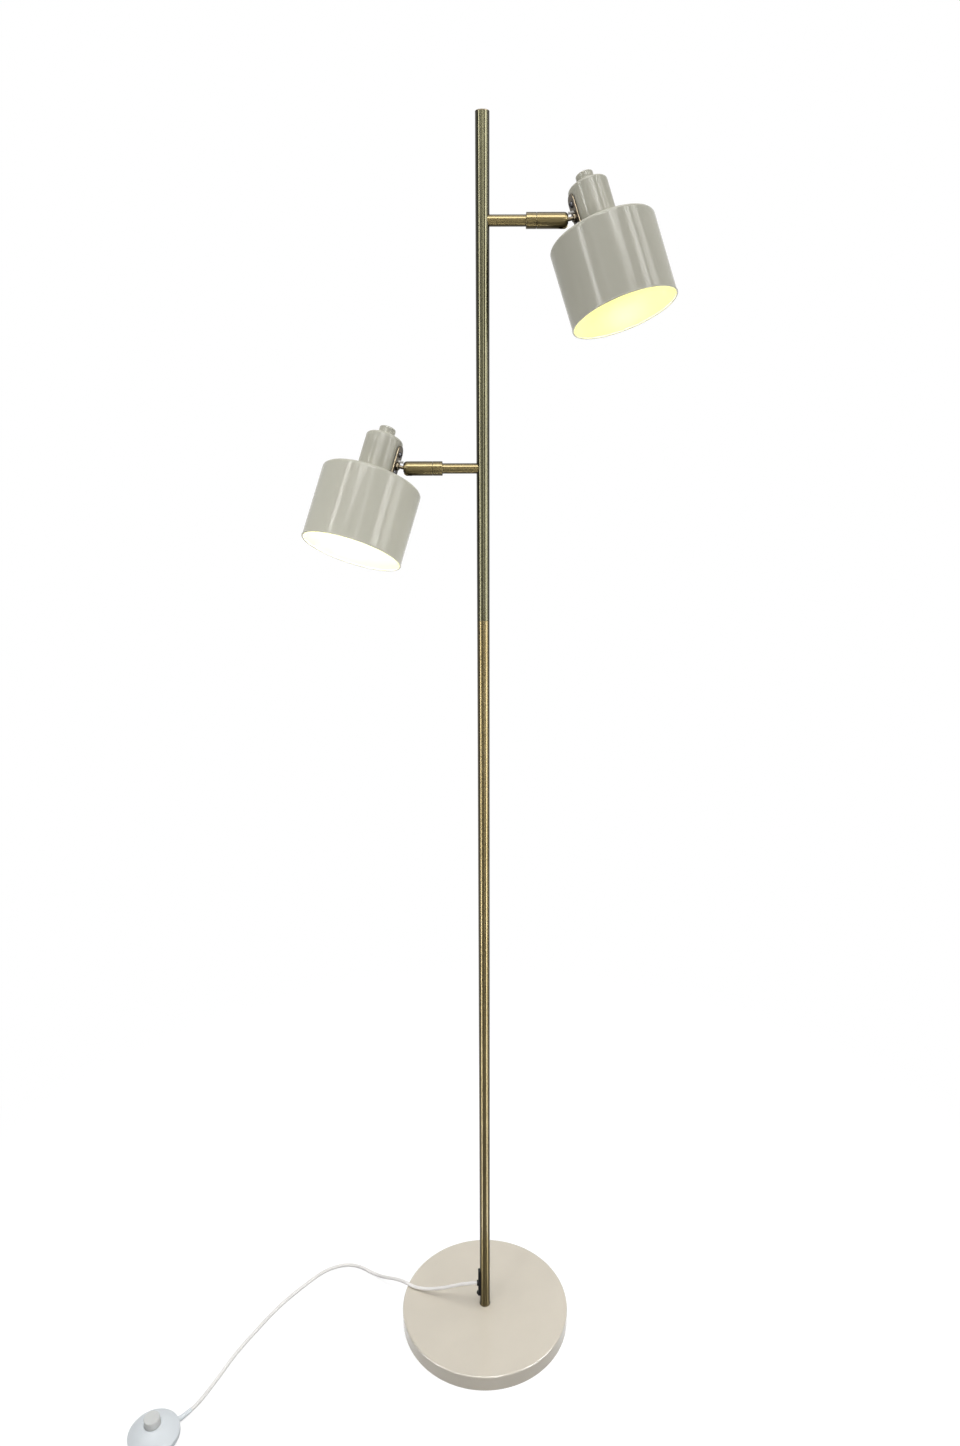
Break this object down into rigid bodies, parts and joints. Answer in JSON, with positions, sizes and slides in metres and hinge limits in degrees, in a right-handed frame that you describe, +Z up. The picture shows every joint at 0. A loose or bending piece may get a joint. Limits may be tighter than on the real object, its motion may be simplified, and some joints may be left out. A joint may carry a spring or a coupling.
{
  "type": "floor lamp",
  "caption": "Floor lamp with a weighted round base, a slim sectional pole, and drum spot heads that swivel and tilt on short arms; cord with foot switch and plug.",
  "frame": {"origin": "on the floor under the pole's axis, in the centre of the base's underside", "axes": "+Z up along the pole, +X along the upper arm, -Y towards the front, where the shades' mouths turn"},
  "size_m": [0.7684, 0.4488, 1.595],
  "materials": {
    "paint": "semi-gloss greige paint",
    "iron": "raw",
    "felt": "felt",
    "steel": "zinc plated",
    "brass": "antique satin",
    "bronze": "dark antique",
    "black_steel": "black oxide",
    "nickel": "polished nickel",
    "black_plastic": "glossy black",
    "seat_plastic": "nylon",
    "sleeve_plastic": "translucent white",
    "holder_plastic": "white thermoset",
    "cable": "satin PVC",
    "white_plastic": "satin white",
    "contact_plastic": "dark thermoset",
    "bulb_glass": "frosted"
  },
  "bodies": {
    "stand": {"base_cover": "paint", "base_weight": "iron", "base_pad": "felt", "base_rod": "steel", "base_washer": "steel", "base_nut": "steel", "pole_foot": "bronze", "pole_lower_tube": "brass", "pole_middle_tube": "brass", "pole_upper_tube": "brass", "pole_lower_coupler": "steel", "pole_upper_coupler": "steel", "pole_cap": "bronze", "cord_outlet": "black_plastic", "inner_wiring": "cable", "upper_arm_tube": "brass", "upper_swivel_collar": "brass", "upper_swivel_nut": "steel", "lower_arm_tube": "brass", "lower_swivel_collar": "brass", "lower_swivel_nut": "steel", "cord_lead": "cable", "switch_base": "white_plastic", "switch_cover": "white_plastic", "switch_contacts": "contact_plastic", "cord_tail": "cable", "cord_coil": "cable", "plug_body": "white_plastic", "plug_pins": "nickel"},
    "upper_swivel": {"upper_swivel_body": "brass", "upper_ball_seat": "seat_plastic"},
    "upper_head": {"upper_ball_stem": "bronze", "upper_stem_nuts": "bronze", "upper_bracket_plate": "bronze", "upper_bracket_screws": "black_steel", "upper_wire_sleeve": "sleeve_plastic", "upper_shade": "paint", "upper_shade_cap": "paint", "upper_lamp_holder": "holder_plastic", "upper_bulb_cap": "nickel", "upper_bulb_glass": "bulb_glass"},
    "lower_swivel": {"lower_swivel_body": "brass", "lower_ball_seat": "seat_plastic"},
    "lower_head": {"lower_ball_stem": "bronze", "lower_stem_nuts": "bronze", "lower_bracket_plate": "bronze", "lower_bracket_screws": "black_steel", "lower_wire_sleeve": "sleeve_plastic", "lower_shade": "paint", "lower_shade_cap": "paint", "lower_lamp_holder": "holder_plastic", "lower_bulb_cap": "nickel", "lower_bulb_glass": "bulb_glass"},
    "switch_key": {"switch_button": "white_plastic"}
  },
  "joints": [
    {"name": "upper_head_swivel", "type": "hinge", "parent": "stand", "child": "upper_swivel", "pos_m": [0.086, 0, 1.495], "axis": [1, 0, 0], "range_deg": [-152, 178]},
    {"name": "upper_head_tilt", "type": "hinge", "parent": "upper_swivel", "child": "upper_head", "pos_m": [0.086, 0, 1.495], "axis": [0, -0.9744, 0.225], "range_deg": [-42.5, 7.5]},
    {"name": "lower_head_swivel", "type": "hinge", "parent": "stand", "child": "lower_swivel", "pos_m": [-0.086, 0, 1.2445], "axis": [1, 0, 0], "range_deg": [-143.5, 186.5]},
    {"name": "lower_head_tilt", "type": "hinge", "parent": "lower_swivel", "child": "lower_head", "pos_m": [-0.086, 0, 1.2445], "axis": [0, 0.9304, -0.3665], "range_deg": [-41, 9]},
    {"name": "switch_press", "type": "slide", "parent": "stand", "child": "switch_key", "axis": [0, 0, -1], "range_m": [0, 0.003], "stiffness_N_per_m": 1000, "springref_m": -0.001}
  ]
}
